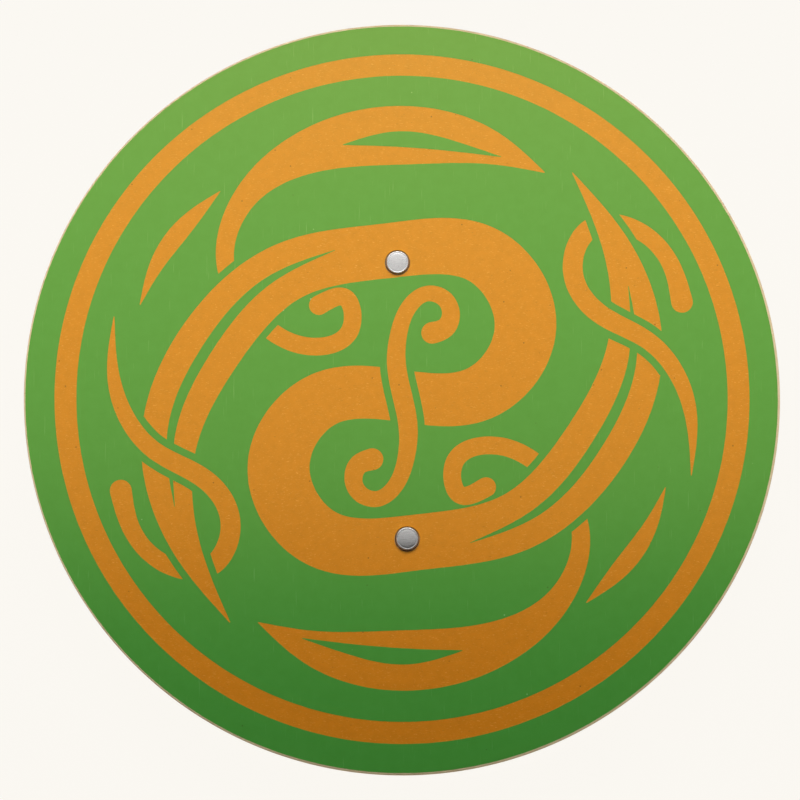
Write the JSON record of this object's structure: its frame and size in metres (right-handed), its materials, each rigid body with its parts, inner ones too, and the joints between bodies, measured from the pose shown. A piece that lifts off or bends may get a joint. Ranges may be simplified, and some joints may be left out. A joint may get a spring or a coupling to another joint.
{
  "type": "toy round shield",
  "caption": "Round flat wooden play shield with a printed interlace face, a plain ring near its edge, and a leather grip strap riveted across its back.",
  "frame": {"origin": "on the surface it lies on, under the centre of the disc, 2 mm up from the middle of the grip strap's underside", "axes": "+Z out of the printed face, which looks up as the shield lies on its strap; +Y towards the top of the shield, along the line of the two rivets but for a turn of two degrees"},
  "size_m": [0.38, 0.38, 0.0289],
  "materials": {
    "printed_board": "satin",
    "green_print": "satin",
    "leather": "matte",
    "nickel_plate": "satin"
  },
  "bodies": {
    "root": {"board": "printed_board", "grip_strap": "leather", "rivet_upper": "nickel_plate", "rivet_lower": "nickel_plate", "rivet_cap_upper": "nickel_plate", "rivet_cap_lower": "nickel_plate"}
  },
  "joints": []
}
